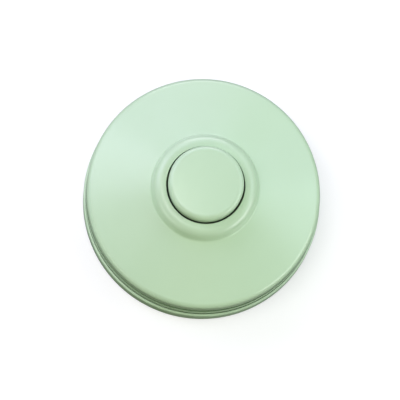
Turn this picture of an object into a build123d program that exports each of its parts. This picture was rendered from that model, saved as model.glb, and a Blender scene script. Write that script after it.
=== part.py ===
"""Round surface-mounted bell push: base plate, clip-on cover, push button and the contacts inside."""

import os
from math import radians, sqrt, tan

from build123d import *

os.makedirs("parts", exist_ok=True)

# Driving dimensions in millimetres. The back lies on Z = 0 and +Z points out of the wall along the button.

# Base plate
base_diameter = 66.0
floor_thickness = 2.4
flange_height = 5.7
flange_edge_radius = 0.6
foot_setback = 0.4
foot_height = 0.4
back_recess_depth = 0.6
back_rim_width = 4.4

# Snap collar on the base
collar_wall = 1.6
collar_height = 5.6
snap_count = 3
snap_arc = 26.0
snap_depth = 0.6
snap_height = 1.2
snap_lift = 3.9
slit_width = 1.2

# Cover outside
band_setback = 0.6
band_height = 2.7
seam_height = 3.8
seam_depth = 1.2
rim_setback = 0.1
rim_groove_height = 1.5
rim_groove_depth = 1.1
rim_height = 2.1
rim_radius = 2.0
moulded_edge_radius = 0.2

# Boss in the middle of the cover
boss_foot_diameter = 29.6
boss_foot_rise = 6.8
boss_foot_radius = 0.9
boss_height = 4.3
boss_flank_angle = 77.0
lip_radius = 1.8
bore_edge_radius = 0.2

# Cover inside
cover_wall = 2.0
skirt_wall = 2.3
inside_corner_radius = 0.8
guide_wall = 2.0
guide_length = 7.0
guide_rib_count = 6
guide_rib_width = 1.2
guide_rib_reach = 9.0
guide_rib_lift = 0.8

# Push button
button_diameter = 20.6
button_proud = 3.6
button_crown = 0.4
button_edge_radius = 1.5
button_wall = 1.6
button_face_wall = 1.8
button_flange_overlap = 1.5
button_flange_thickness = 1.1
button_travel = 2.0
stem_diameter = 5.4
stem_bore = 3.0
stem_rib_count = 4
stem_rib_width = 1.0
stem_rib_height = 3.0

# Contact strips, along X from the two terminals to the middle
strip_width = 7.0
leaf_thickness = 0.25
leaf_rise = 1.7
leaf_tongue_width = 5.0
leaf_overrun = 3.5
leaf_ramp = 5.6
fixed_thickness = 0.5
fixed_tongue_width = 5.0
fixed_overrun = 2.8
fixed_ramp = 2.2
bend_radius = 1.2

# Contact tips
tip_diameter = 3.2
tip_height = 0.5
tip_shank = 1.6
tip_tail_diameter = 2.4
tip_tail_height = 0.3

# Terminal pads
pad_height = 4.6
pad_inner = 9.6
pad_width = 10.4
strip_end_margin = 4.4
pad_end_margin = 5.4
strip_rib_width = 1.0
strip_rib_height = 0.8
anvil_diameter = 6.4
anvil_recess_depth = 0.9

# Strip rivets
rivet_inset = 2.4
rivet_shank = 2.4
rivet_head_diameter = 4.0
rivet_head_height = 0.7
rivet_bore = 1.3
rivet_bore_depth = 3.0
rivet_pocket_depth = 1.6

# Terminal screws, clamp washers and nuts
terminal_pitch = 6.0
screw_thread = 3.0
screw_length = 6.0
screw_head_diameter = 5.6
screw_head_height = 1.8
screw_slot_width = 0.8
screw_slot_depth = 0.9
washer_side = 6.6
washer_thickness = 1.0
nut_side = 5.5
nut_thickness = 1.8
nut_floor = 1.0

# Wall screw slots and cable entry
wall_slot_spacing = 41.0
wall_slot_length = 8.0
wall_slot_width = 4.2
wall_screw_head = 8.4
wall_screw_recess = 0.6
wall_slot_border = 2.4
cable_entry_width = 14.0
cable_entry_height = 8.0
cable_entry_offset = 9.2

# Clearances
cover_clearance = 0.2
snap_clearance = 0.1
button_clearance = 0.5
stop_clearance = 0.05
contact_clearance = 0.05
strip_clearance = 0.15
nut_clearance = 0.1
thread_clearance = 0.03
screw_hole_clearance = 0.2
rivet_clearance = 0.05

# Levels of the base
floor_top = floor_thickness
seat = flange_height
pad_top = floor_top + pad_height

# Radii from the flange inwards
base_radius = base_diameter / 2
foot_radius = base_radius - foot_setback
band_radius = base_radius - band_setback
rim_radius_outer = band_radius - rim_setback
skirt_inner = band_radius - skirt_wall
collar_outer = skirt_inner - cover_clearance
collar_inner = collar_outer - collar_wall
snap_radius = collar_outer + snap_depth

# Levels of the cover
band_bottom = seat + seam_height
band_top = band_bottom + band_height
rim_bottom = band_top + rim_groove_height
rim_top = rim_bottom + rim_height
boss_foot = rim_top + boss_foot_rise
lip_top = boss_foot + boss_height
guide_bottom = lip_top - guide_length
snap_bottom = seat + snap_lift
snap_top = snap_bottom + snap_height

# The conical face runs from the rim to the foot of the boss
boss_foot_outer = boss_foot_diameter / 2
cone_slope = boss_foot_rise / (rim_radius_outer - boss_foot_outer)
cone_wall_drop = cover_wall * sqrt(1 + cone_slope**2)
lip_outer = boss_foot_outer - boss_height / tan(radians(boss_flank_angle))

# Push button in its guide
button_radius = button_diameter / 2
bore_radius = button_radius + button_clearance
guide_outer = bore_radius + guide_wall
lip_land = lip_outer - bore_radius
button_flange_radius = bore_radius + button_flange_overlap
button_flange_top = guide_bottom - stop_clearance
button_flange_bottom = button_flange_top - button_flange_thickness
button_edge = lip_top + button_proud
button_ceiling = button_edge - button_face_wall
button_inner = button_radius - button_wall
crown_radius = (button_radius**2 + button_crown**2) / (2 * button_crown)

# Contacts: the tips meet at the end of the button's travel
leaf_bottom = pad_top + leaf_rise
leaf_top = leaf_bottom + leaf_thickness
stem_end = leaf_top + contact_clearance
moving_tip_face = leaf_bottom - tip_height
fixed_tip_face = moving_tip_face - button_travel - contact_clearance
fixed_top = fixed_tip_face - tip_height
fixed_bottom = fixed_top - fixed_thickness

# Places along X
rivet_x = pad_inner + rivet_inset
terminal_x = rivet_x + terminal_pitch
strip_end = terminal_x + strip_end_margin
pad_end = terminal_x + pad_end_margin
bend_x = pad_inner - bend_radius
nut_pocket_top = floor_top + nut_floor + nut_thickness + nut_clearance
nut_pocket_side = nut_side + 2 * nut_clearance
screw_hole = screw_thread + 2 * screw_hole_clearance
rivet_hole = rivet_shank + 2 * rivet_clearance
tip_hole = tip_shank + 2 * rivet_clearance
rivet_pocket = rivet_head_diameter + 2 * strip_clearance


def cone_level(radius):
    """Height of the cover's conical face at this radius."""
    return rim_top + (rim_radius_outer - radius) * cone_slope


# Snap lug, made once at +X and repeated around the collar
with BuildPart() as snap_lug:
    with BuildSketch(Plane.XZ):
        with BuildLine():
            Polyline(
                (collar_outer - collar_wall / 2, snap_bottom),
                (collar_outer, snap_bottom),
                (snap_radius, snap_bottom + snap_height / 3),
                (snap_radius, snap_bottom + snap_height / 2),
                (collar_outer, snap_top),
                (collar_outer - collar_wall / 2, snap_top),
                close=True,
            )
        make_face()
    revolve(axis=Axis.Z, revolution_arc=snap_arc)

# Base plate with flange, foot, snap collar, terminal pads, anvil and holes
with BuildPart() as base:
    with BuildSketch(Plane.XZ) as base_profile:
        with BuildLine():
            Polyline(
                (0, 0),
                (foot_radius, 0),
                (foot_radius, foot_height),
                (base_radius, foot_height),
                (base_radius, seat),
                (collar_outer, seat),
                (collar_outer, seat + collar_height),
                (collar_inner, seat + collar_height),
                (collar_inner, floor_top),
                (0, floor_top),
                close=True,
            )
        make_face()
        fillet(base_profile.vertices().sort_by_distance((base_radius, seat))[0], flange_edge_radius)
        fillet(base_profile.vertices().sort_by_distance((base_radius, foot_height))[0], moulded_edge_radius)
    revolve(axis=Axis.Z)

    # Lugs on spring tongues, each cut free by a slit at either side
    with PolarLocations(0, snap_count, start_angle=90 - snap_arc / 2):
        add(snap_lug.part)
    for edge_angle in (-snap_arc / 2, snap_arc / 2):
        with BuildSketch(Plane.XY.offset(seat)):
            with PolarLocations((collar_inner + collar_outer) / 2, snap_count, start_angle=90 + edge_angle):
                Rectangle(2 * collar_wall, slit_width)
        extrude(amount=collar_height, mode=Mode.SUBTRACT)

    # Terminal pads with ribs that hold the strips in line
    with BuildSketch(Plane.XY.offset(floor_top)):
        with GridLocations(pad_inner + pad_end, 0, 2, 1):
            Rectangle(pad_end - pad_inner, pad_width)
    extrude(amount=pad_height)
    with BuildSketch(Plane.XY.offset(pad_top)):
        with GridLocations(pad_inner + pad_end, strip_width + 2 * strip_clearance + strip_rib_width, 2, 2):
            Rectangle(pad_end - pad_inner, strip_rib_width)
    extrude(amount=strip_rib_height)

    # Anvil under the fixed contact
    with BuildSketch(Plane.XY.offset(floor_top)):
        Circle(anvil_diameter / 2)
    extrude(amount=fixed_bottom - floor_top)
    with BuildSketch(Plane.XY.offset(fixed_bottom)):
        Circle(tip_tail_diameter / 2 + strip_clearance)
    extrude(amount=-anvil_recess_depth, mode=Mode.SUBTRACT)

    # Nut pockets, open at the outer end of each pad, with the screw hole through them
    pocket_start = terminal_x - nut_pocket_side / 2
    with BuildSketch(Plane.XY.offset(nut_pocket_top)):
        with GridLocations(pocket_start + pad_end, 0, 2, 1):
            Rectangle(pad_end - pocket_start, nut_pocket_side)
    extrude(amount=-nut_thickness - nut_clearance, mode=Mode.SUBTRACT)
    with BuildSketch(Plane.XY.offset(pad_top)):
        with GridLocations(2 * terminal_x, 0, 2, 1):
            Circle(screw_hole / 2)
    extrude(amount=-screw_length, mode=Mode.SUBTRACT)

    # Rivet holes, each with a pocket for the rivet's tail in the back
    with GridLocations(2 * rivet_x, 0, 2, 1):
        Hole(rivet_hole / 2)
    with BuildSketch():
        with GridLocations(2 * rivet_x, 0, 2, 1):
            Circle(rivet_pocket / 2)
    extrude(amount=rivet_pocket_depth, mode=Mode.SUBTRACT)

    # Hollow back, with a border left standing around each wall screw slot
    with BuildSketch():
        Circle(foot_radius - back_rim_width)
        with GridLocations(0, wall_slot_spacing, 1, 2):
            SlotOverall(
                wall_slot_length + 2 * wall_slot_border,
                wall_slot_width + 2 * wall_slot_border,
                rotation=90,
                mode=Mode.SUBTRACT,
            )
    extrude(amount=back_recess_depth, mode=Mode.SUBTRACT)

    # Wall screw slots, recessed inside for the screw heads
    with BuildSketch():
        with GridLocations(0, wall_slot_spacing, 1, 2):
            SlotOverall(wall_slot_length, wall_slot_width, rotation=90)
    extrude(amount=floor_top, mode=Mode.SUBTRACT)
    with BuildSketch(Plane.XY.offset(floor_top)):
        with GridLocations(0, wall_slot_spacing, 1, 2):
            SlotOverall(wall_slot_length + wall_screw_head - wall_slot_width, wall_screw_head, rotation=90)
    extrude(amount=-wall_screw_recess, mode=Mode.SUBTRACT)

    # Cable entry behind the upper terminal space
    with BuildSketch():
        with Locations((0, cable_entry_offset)):
            SlotOverall(cable_entry_width, cable_entry_height)
    extrude(amount=floor_top, mode=Mode.SUBTRACT)
base.part.label = "base"
export_step(base.part, "parts/base.step")

# Gusset that stiffens the button guide, made once at +X and repeated around it
with BuildPart() as guide_rib:
    rib_root = guide_outer - guide_wall / 2
    rib_end = guide_outer + guide_rib_reach
    with BuildSketch(Plane.XZ):
        with BuildLine():
            Polyline(
                (rib_root, guide_bottom + guide_rib_lift),
                (guide_outer, guide_bottom + guide_rib_lift),
                (rib_end, cone_level(rib_end) - cone_wall_drop),
                (rib_end, cone_level(rib_end) - cone_wall_drop / 2),
                (rib_root, cone_level(rib_root) - cone_wall_drop / 2),
                close=True,
            )
        make_face()
    extrude(amount=guide_rib_width / 2, both=True)

# Cover: one revolved shell from the seam, over the cone and the boss, down the button guide
with BuildPart() as cover:
    rim_corner = (rim_radius_outer, rim_top)
    boss_corner = (boss_foot_outer, boss_foot)
    lip_corner = (lip_outer, lip_top)
    bore_corner = (bore_radius, lip_top)
    band_corners = ((band_radius, band_bottom), (band_radius, band_top))
    rim_lower_corner = (rim_radius_outer, rim_bottom)
    inner_corner = (skirt_inner, cone_level(skirt_inner) - cone_wall_drop)
    with BuildSketch(Plane.XZ) as cover_profile:
        with BuildLine():
            Polyline(
                (skirt_inner, seat),
                (band_radius - seam_depth, seat),
                (band_radius - seam_depth, band_bottom),
                *band_corners,
                (rim_radius_outer - rim_groove_depth, band_top),
                (rim_radius_outer - rim_groove_depth, rim_bottom),
                rim_lower_corner,
                rim_corner,
                boss_corner,
                lip_corner,
                bore_corner,
                (bore_radius, guide_bottom),
                (guide_outer, guide_bottom),
                (guide_outer, cone_level(guide_outer) - cone_wall_drop),
                inner_corner,
                (skirt_inner, snap_top + snap_clearance),
                (snap_radius + snap_clearance, snap_top + snap_clearance),
                (snap_radius + snap_clearance, snap_bottom - snap_clearance),
                (skirt_inner, snap_bottom - snap_clearance),
                close=True,
            )
        make_face()
        for corner, radius in (
            (rim_corner, rim_radius),
            (boss_corner, boss_foot_radius),
            (lip_corner, min(lip_radius, 0.9 * lip_land)),
            (bore_corner, min(bore_edge_radius, 0.25 * lip_land)),
            (rim_lower_corner, moulded_edge_radius),
            (band_corners[0], moulded_edge_radius),
            (band_corners[1], moulded_edge_radius),
            (inner_corner, inside_corner_radius),
        ):
            fillet(cover_profile.vertices().sort_by_distance(corner)[0], radius)
    revolve(axis=Axis.Z)
    with PolarLocations(0, guide_rib_count, start_angle=180 / guide_rib_count):
        add(guide_rib.part)
cover.part.label = "cover"
export_step(cover.part, "parts/cover.step")

# Push button: crowned cup with a retaining flange, a hollow stem and ribs
with BuildPart() as push_button:
    with BuildSketch(Plane.XZ) as button_profile:
        with BuildLine():
            Polyline(
                (0, button_edge + button_crown),
                (0, button_ceiling),
                (stem_bore / 2, button_ceiling),
                (stem_bore / 2, stem_end),
                (stem_diameter / 2, stem_end),
                (stem_diameter / 2, button_ceiling),
                (button_inner, button_ceiling),
                (button_inner, button_flange_bottom),
                (button_flange_radius, button_flange_bottom),
                (button_flange_radius, button_flange_top),
                (button_radius, button_flange_top),
                (button_radius, button_edge),
            )
            RadiusArc((button_radius, button_edge), (0, button_edge + button_crown), -crown_radius)
        make_face()
        edge_corner = button_profile.vertices().sort_by_distance((button_radius, button_edge))[0]
        fillet(edge_corner, button_edge_radius)
    revolve(axis=Axis.Z)
    with BuildSketch(Plane.XY.offset(button_ceiling)):
        rib_length = button_inner - stem_bore / 2
        with PolarLocations(stem_bore / 2 + rib_length / 2, stem_rib_count):
            Rectangle(rib_length, stem_rib_width)
        Circle((stem_bore + stem_diameter) / 4, mode=Mode.SUBTRACT)
    extrude(amount=-stem_rib_height)
push_button.part.label = "push_button"
export_step(push_button.part, "parts/push_button.step")


def strip_tongue(root, tip, width):
    """Plan outline of a strip that tapers from its root on the pad to a round tip past the middle."""
    with BuildSketch() as tongue:
        with Locations((root, 0)):
            Rectangle(pad_inner / 4, strip_width)
        with Locations((tip - width / 2 if tip > root else tip + width / 2, 0)):
            Circle(width / 2)
        make_hull()
    return tongue.sketch


# Contact spring: leaf clamped on the left pad, rising to the button's stem
with BuildPart() as contact_spring:
    with BuildSketch(Plane.XZ):
        with BuildLine():
            FilletPolyline(
                (-strip_end, pad_top),
                (-bend_x, pad_top),
                (leaf_ramp - bend_x, leaf_bottom),
                (leaf_overrun, leaf_bottom),
                radius=bend_radius,
            )
            offset(amount=leaf_thickness, side=Side.LEFT)
        make_face()
    extrude(amount=strip_width / 2, both=True)
    with BuildSketch():
        with Locations((-(strip_end + pad_inner) / 2, 0)):
            Rectangle(strip_end - pad_inner, strip_width)
        add(strip_tongue(-pad_inner, leaf_overrun, leaf_tongue_width))
        with Locations((-terminal_x, 0)):
            Circle(screw_hole / 2, mode=Mode.SUBTRACT)
        with Locations((-rivet_x, 0)):
            Circle(rivet_hole / 2, mode=Mode.SUBTRACT)
        Circle(tip_hole / 2, mode=Mode.SUBTRACT)
    extrude(amount=lip_top, mode=Mode.INTERSECT)
contact_spring.part.label = "contact_spring"
export_step(contact_spring.part, "parts/contact_spring.step")

# Fixed contact: stiff strip on the right pad, stepping down to the anvil
with BuildPart() as fixed_contact:
    with BuildSketch(Plane.XZ):
        with BuildLine():
            FilletPolyline(
                (strip_end, pad_top),
                (bend_x, pad_top),
                (bend_x - fixed_ramp, fixed_bottom),
                (-fixed_overrun, fixed_bottom),
                radius=bend_radius,
            )
            offset(amount=fixed_thickness, side=Side.RIGHT)
        make_face()
    extrude(amount=strip_width / 2, both=True)
    with BuildSketch():
        with Locations(((strip_end + pad_inner) / 2, 0)):
            Rectangle(strip_end - pad_inner, strip_width)
        add(strip_tongue(pad_inner, -fixed_overrun, fixed_tongue_width))
        with Locations((terminal_x, 0)):
            Circle(screw_hole / 2, mode=Mode.SUBTRACT)
        with Locations((rivet_x, 0)):
            Circle(rivet_hole / 2, mode=Mode.SUBTRACT)
        Circle(tip_hole / 2, mode=Mode.SUBTRACT)
    extrude(amount=lip_top, mode=Mode.INTERSECT)
fixed_contact.part.label = "fixed_contact"
export_step(fixed_contact.part, "parts/fixed_contact.step")

# Contact tips: round rivets with the contact face towards each other and the tail clenched behind the strip
for name, strip_face, outward, strip_thickness in (
    ("moving_contact_tip", leaf_bottom, -1, leaf_thickness),
    ("fixed_contact_tip", fixed_top, 1, fixed_thickness),
):
    with BuildPart() as contact_tip:
        with BuildSketch(Plane.XY.offset(strip_face)):
            Circle(tip_diameter / 2)
        extrude(amount=outward * tip_height)
        contact_face = contact_tip.faces().sort_by(Axis.Z)[-1 if outward > 0 else 0]
        fillet(contact_face.edges(), tip_height / 2)
        with BuildSketch(Plane.XY.offset(strip_face)):
            Circle(tip_shank / 2)
        extrude(amount=-outward * strip_thickness)
        with BuildSketch(Plane.XY.offset(strip_face - outward * strip_thickness)):
            Circle(tip_tail_diameter / 2)
        extrude(amount=-outward * tip_tail_height)
    contact_tip.part.label = name
    export_step(contact_tip.part, f"parts/{name}.step")

# Fastenings of each strip: rivet, clamp washer, terminal screw and square nut
for side_name, side, strip_thickness in (("left", -1, leaf_thickness), ("right", 1, fixed_thickness)):
    strip_top = pad_top + strip_thickness
    washer_top = strip_top + washer_thickness

    # Rivet: head on the strip, tubular tail flared in the pocket in the back
    with BuildPart() as strip_rivet:
        with BuildSketch(Plane.XY.offset(strip_top)):
            with Locations((side * rivet_x, 0)):
                Circle(rivet_head_diameter / 2)
        extrude(amount=rivet_head_height)
        fillet(strip_rivet.faces().sort_by(Axis.Z)[-1].edges(), rivet_head_height / 2)
        with BuildSketch(Plane.XY.offset(strip_top)):
            with Locations((side * rivet_x, 0)):
                Circle(rivet_shank / 2)
        extrude(amount=rivet_pocket_depth - strip_top)
        with BuildSketch(Plane.XY.offset(rivet_pocket_depth)):
            with Locations((side * rivet_x, 0)):
                Circle(rivet_head_diameter / 2)
        extrude(amount=-rivet_head_height)
        tail_face = strip_rivet.faces().sort_by(Axis.Z)[0]
        fillet(tail_face.edges(), rivet_head_height / 2)
        with BuildSketch(Plane.XY.offset(rivet_pocket_depth - rivet_head_height)):
            with Locations((side * rivet_x, 0)):
                Circle(rivet_bore / 2)
        extrude(amount=rivet_bore_depth, mode=Mode.SUBTRACT)
    strip_rivet.part.label = f"{side_name}_strip_rivet"
    export_step(strip_rivet.part, f"parts/{side_name}_strip_rivet.step")

    # Clamp washer: square, so that it can't turn between the ribs
    with BuildPart() as clamp_washer:
        with BuildSketch(Plane.XY.offset(strip_top)):
            with Locations((side * terminal_x, 0)):
                RectangleRounded(washer_side, washer_side, washer_thickness / 2)
                Circle(screw_hole / 2, mode=Mode.SUBTRACT)
        extrude(amount=washer_thickness)
        chamfer(clamp_washer.faces().sort_by(Axis.Z)[-1].outer_wire().edges(), washer_thickness / 4)
    clamp_washer.part.label = f"{side_name}_clamp_washer"
    export_step(clamp_washer.part, f"parts/{side_name}_clamp_washer.step")

    # Terminal screw: slotted pan head, shank down through the nut
    with BuildPart() as terminal_screw:
        with BuildSketch(Plane.XY.offset(washer_top)):
            with Locations((side * terminal_x, 0)):
                Circle(screw_head_diameter / 2)
        extrude(amount=screw_head_height)
        fillet(terminal_screw.faces().sort_by(Axis.Z)[-1].edges(), screw_head_height / 3)
        with BuildSketch(Plane.XY.offset(washer_top)):
            with Locations((side * terminal_x, 0)):
                Circle(screw_thread / 2 - thread_clearance)
        extrude(amount=-screw_length)
        chamfer(terminal_screw.faces().sort_by(Axis.Z)[0].edges(), screw_thread / 8)
        with BuildSketch(Plane.XY.offset(washer_top + screw_head_height)):
            with Locations((side * terminal_x, 0)):
                Rectangle(screw_head_diameter, screw_slot_width)
        extrude(amount=-screw_slot_depth, mode=Mode.SUBTRACT)
    terminal_screw.part.label = f"{side_name}_terminal_screw"
    export_step(terminal_screw.part, f"parts/{side_name}_terminal_screw.step")

    # Square nut drawn up against the roof of its pocket
    with BuildPart() as square_nut:
        with BuildSketch(Plane.XY.offset(nut_pocket_top)):
            with Locations((side * terminal_x, 0)):
                Rectangle(nut_side, nut_side)
                Circle(screw_thread / 2, mode=Mode.SUBTRACT)
        extrude(amount=-nut_thickness)
        chamfer(square_nut.edges().filter_by(Axis.Z), nut_side / 12)
    square_nut.part.label = f"{side_name}_square_nut"
    export_step(square_nut.part, f"parts/{side_name}_square_nut.step")
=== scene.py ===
"""Studio picture of a round bell push: its pieces and their finishes, soft light and the camera."""

import logging
import math
from collections.abc import Callable, Iterator
from contextlib import contextmanager
from dataclasses import dataclass, field
from enum import Enum
from typing import Any

import bmesh
import bpy
from mathutils import Matrix, Vector


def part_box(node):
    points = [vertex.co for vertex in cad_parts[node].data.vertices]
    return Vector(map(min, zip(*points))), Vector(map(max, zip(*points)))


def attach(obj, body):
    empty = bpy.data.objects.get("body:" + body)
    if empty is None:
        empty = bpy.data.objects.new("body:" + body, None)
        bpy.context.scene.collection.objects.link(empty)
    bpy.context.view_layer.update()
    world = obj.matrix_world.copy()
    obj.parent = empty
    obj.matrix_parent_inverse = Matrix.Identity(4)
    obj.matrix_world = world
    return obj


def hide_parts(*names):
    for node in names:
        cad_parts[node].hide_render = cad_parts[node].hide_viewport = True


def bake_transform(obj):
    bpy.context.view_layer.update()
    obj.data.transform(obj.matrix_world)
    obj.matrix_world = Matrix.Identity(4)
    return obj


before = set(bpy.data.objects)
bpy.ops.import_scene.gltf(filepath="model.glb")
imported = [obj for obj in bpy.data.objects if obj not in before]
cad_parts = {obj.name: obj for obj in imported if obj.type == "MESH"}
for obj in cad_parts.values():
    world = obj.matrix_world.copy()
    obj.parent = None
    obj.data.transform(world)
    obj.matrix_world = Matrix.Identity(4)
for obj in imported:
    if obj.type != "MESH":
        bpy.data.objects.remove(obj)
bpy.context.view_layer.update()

# One millimetre, and the distance within which doubles merge, in metres
MM = 0.001
MERGE = 1e-6
# How near a picked place or outline point has to be, in millimetres
NEAR = 0.01
POINT = 0.001
# Share of a direction that has to lie along an axis
ALIGNED = 0.9
# How far a cutting tool reaches past a piece, in millimetres
OVERCUT = 1.0
# Steps around a small turned piece or hole, and the turn of one facet in a rounded corner
ROUND_STEPS = 48
FACET_DEG = 8
MIN_FACETS = 3
SMOOTH_ANGLE = math.radians(30)
# Colour sockets of a Mix node
MIX_A, MIX_B, MIX_RESULT = 6, 7, 2
log = logging.getLogger("bell_push")


class Body(Enum):
    """The two bodies of the bell push."""

    HOUSING = "housing"
    BUTTON = "button"


class Hand(Enum):
    """Side of the button's axis, with its sign along X."""

    LEFT = -1
    RIGHT = 1


class Grip(Enum):
    """What edit mode takes hold of."""

    VERTS = "VERT"
    EDGES = "EDGE"
    FACES = "FACE"


class Fuse(Enum):
    """How one shape is worked into another."""

    ADD = "UNION"
    CUT = "DIFFERENCE"


class Facing(Enum):
    """Way that a contact's face points, with its sign along Z."""

    DOWN = -1
    UP = 1


def linear(hex_colour: str) -> tuple[float, float, float, float]:
    """Turns an sRGB hex value into a linear colour.

    Args:
        hex_colour: Six hex digits, with or without a leading hash.

    Returns:
        Linear red, green and blue with full alpha.
    """
    digits = hex_colour.lstrip("#")
    channels = [int(digits[i : i + 2], 16) / 255 for i in (0, 2, 4)]
    red, green, blue = [c / 12.92 if c <= 0.04045 else ((c + 0.055) / 1.055) ** 2.4 for c in channels]
    return red, green, blue, 1.0


def add_node(
    tree: bpy.types.NodeTree,
    kind: str,
    settings: dict[str | int, Any] | None = None,
    links: dict[str | int, bpy.types.NodeSocket] | None = None,
) -> bpy.types.Node:
    """Adds a node with its settings and links.

    Args:
        tree: Node tree that gets the node.
        kind: Identifier of the node's type.
        settings: Values by the name of a node property, or by the name or number of an input socket.
        links: Output sockets by the name or number of the input socket that they feed.

    Returns:
        The new node.
    """
    node = tree.nodes.new(kind)
    for name, value in (settings or {}).items():
        if isinstance(name, str) and hasattr(node, name):
            setattr(node, name, value)
        else:
            node.inputs[name].default_value = value
    for name, source in (links or {}).items():
        tree.links.new(source, node.inputs[name])
    return node


@contextmanager
def edit(piece: bpy.types.Object, grip: Grip = Grip.VERTS) -> Iterator[None]:
    """Opens a piece in edit mode with nothing selected, and closes it again.

    Args:
        piece: Mesh object to work on.
        grip: What edit mode takes hold of.
    """
    hold(piece)
    bpy.ops.object.mode_set(mode="EDIT")
    bpy.ops.mesh.select_mode(type=grip.value)
    bpy.ops.mesh.select_all(action="DESELECT")
    yield
    bpy.ops.object.mode_set(mode="OBJECT")


def hold(piece: bpy.types.Object) -> None:
    """Selects one object alone and makes it the active one."""
    bpy.ops.object.select_all(action="DESELECT")
    piece.select_set(True)
    bpy.context.view_layer.objects.active = piece


def named(name: str) -> bpy.types.Object:
    """Names the object that an operator has just added, with its place moved into its mesh."""
    piece = bpy.context.active_object
    piece.name = piece.data.name = name
    bpy.ops.object.transform_apply(location=True, rotation=True, scale=True)
    return piece


def pick(piece: bpy.types.Object, grip: Grip, test: Callable[[Vector, Vector], bool]) -> None:
    """Selects parts of the mesh in edit mode by their place and direction.

    Args:
        piece: Mesh object in edit mode.
        grip: Kind of part to test.
        test: Takes a part's middle in millimetres, and a face's or vertex's normal or an edge's direction.
    """
    bpy.ops.mesh.select_all(action="DESELECT")
    mesh = bmesh.from_edit_mesh(piece.data)
    if grip is Grip.VERTS:
        found = [v for v in mesh.verts if test(v.co / MM, v.normal)]
    elif grip is Grip.EDGES:
        ends = [(e, e.verts[0].co, e.verts[1].co) for e in mesh.edges]
        found = [e for e, a, b in ends if test((a + b) / 2 / MM, (b - a).normalized())]
    else:
        found = [f for f in mesh.faces if test(f.calc_center_median() / MM, f.normal)]
    for part in found:
        part.select_set(True)
    mesh.select_flush_mode()
    bmesh.update_edit_mesh(piece.data)


def apply_modifier(piece: bpy.types.Object, kind: str, **settings: Any) -> None:
    """Adds a modifier with its settings and applies it at once."""
    modifier = piece.modifiers.new(kind.lower(), kind)
    for name, value in settings.items():
        setattr(modifier, name, value)
    hold(piece)
    bpy.ops.object.modifier_apply(modifier=modifier.name)


def work_in(piece: bpy.types.Object, tool: bpy.types.Object, how: Fuse) -> None:
    """Adds a shape to a piece or cuts it out, and removes the shape."""
    apply_modifier(piece, "BOOLEAN", operation=how.value, solver="EXACT", object=tool)
    bpy.data.objects.remove(tool)


def copied(piece: bpy.types.Object, name: str, move: Matrix) -> bpy.types.Object:
    """Copies a piece with a mesh of its own.

    Args:
        piece: Piece that is modelled already.
        name: Name of the copy.
        move: Where the copy's mesh goes from the piece's place.

    Returns:
        The copy.
    """
    copy = piece.copy()
    copy.data = piece.data.copy()
    copy.name = copy.data.name = name
    copy.data.transform(move)
    bpy.context.scene.collection.objects.link(copy)
    return copy


def star(piece: bpy.types.Object, count: int, first: float) -> bpy.types.Object:
    """Repeats a shape evenly about the button's axis and joins the copies into one tool.

    Args:
        piece: Shape at +X, which the tool takes the place of.
        count: Number of copies.
        first: Angle of the first copy in radians.

    Returns:
        The joined copies.
    """
    arms = [
        copied(piece, f"{piece.name}_{index}", Matrix.Rotation(first + index * math.tau / count, 4, "Z"))
        for index in range(count)
    ]
    bpy.data.objects.remove(piece)
    hold(arms[0])
    for arm in arms:
        arm.select_set(True)
    bpy.ops.object.join()
    return arms[0]


def drill(piece: bpy.types.Object, x: float, diameter: float, low: float, high: float) -> None:
    """Drills a round hole along Z.

    Args:
        piece: Piece that gets the hole.
        x: Place of the hole along X in millimetres.
        diameter: Diameter of the hole in millimetres.
        low: Lowest level of the piece in millimetres.
        high: Highest level of the piece in millimetres.
    """
    bpy.ops.object.select_all(action="DESELECT")
    bpy.ops.mesh.primitive_cylinder_add(
        vertices=ROUND_STEPS,
        radius=diameter / 2 * MM,
        depth=(high - low + 2 * OVERCUT) * MM,
        location=(x * MM, 0, (low + high) / 2 * MM),
    )
    work_in(piece, named("drill"), Fuse.CUT)


def block(name: str, low: Vector, high: Vector) -> bpy.types.Object:
    """Adds a cube that fills a box in millimetres, as the start of a piece or a tool."""
    bpy.ops.object.select_all(action="DESELECT")
    bpy.ops.mesh.primitive_cube_add(size=1, location=(low + high) / 2 * MM, scale=(high - low) * MM)
    return named(name)


@dataclass(frozen=True)
class Corner:
    """One corner of an outline: distance from the axis, level and rounding, in millimetres."""

    radius: float
    level: float
    rounding: float = 0.0

    @property
    def place(self) -> Vector:
        """Place of the corner in the XZ plane, in metres."""
        return Vector((self.radius, 0, self.level)) * MM


def draw(piece: bpy.types.Object, outline: list[Corner], closed: bool) -> None:
    """Draws an outline as a wire in edit mode, corner by corner, and rounds its corners.

    Args:
        piece: Primitive in edit mode, which is merged to the outline's first point.
        outline: Corners in order.
        closed: Whether the last corner joins the first.
    """
    bpy.ops.mesh.select_all(action="SELECT")
    bpy.ops.mesh.merge(type="CENTER")
    bpy.ops.transform.translate(value=outline[0].place)
    for here, there in zip(outline, outline[1:]):
        bpy.ops.mesh.extrude_vertices_move(TRANSFORM_OT_translate={"value": there.place - here.place})
    if closed:
        ends = (outline[0].place / MM, outline[-1].place / MM)
        pick(piece, Grip.VERTS, lambda place, _: min((place - end).length for end in ends) < POINT)
        bpy.ops.mesh.edge_face_add()
    for before, corner, after in zip(outline[-1:] + outline[:-1], outline, outline[1:] + outline[:1]):
        if corner.rounding:
            turn_angle = (corner.place - before.place).angle(after.place - corner.place)
            spot = corner.place / MM
            pick(piece, Grip.VERTS, lambda place, _, spot=spot: (place - spot).length < POINT)
            bpy.ops.mesh.bevel(
                offset=corner.rounding * math.tan(turn_angle / 2) * MM,
                segments=max(MIN_FACETS, round(math.degrees(turn_angle) / FACET_DEG)),
                affect="VERTICES",
                clamp_overlap=False,
            )


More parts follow.
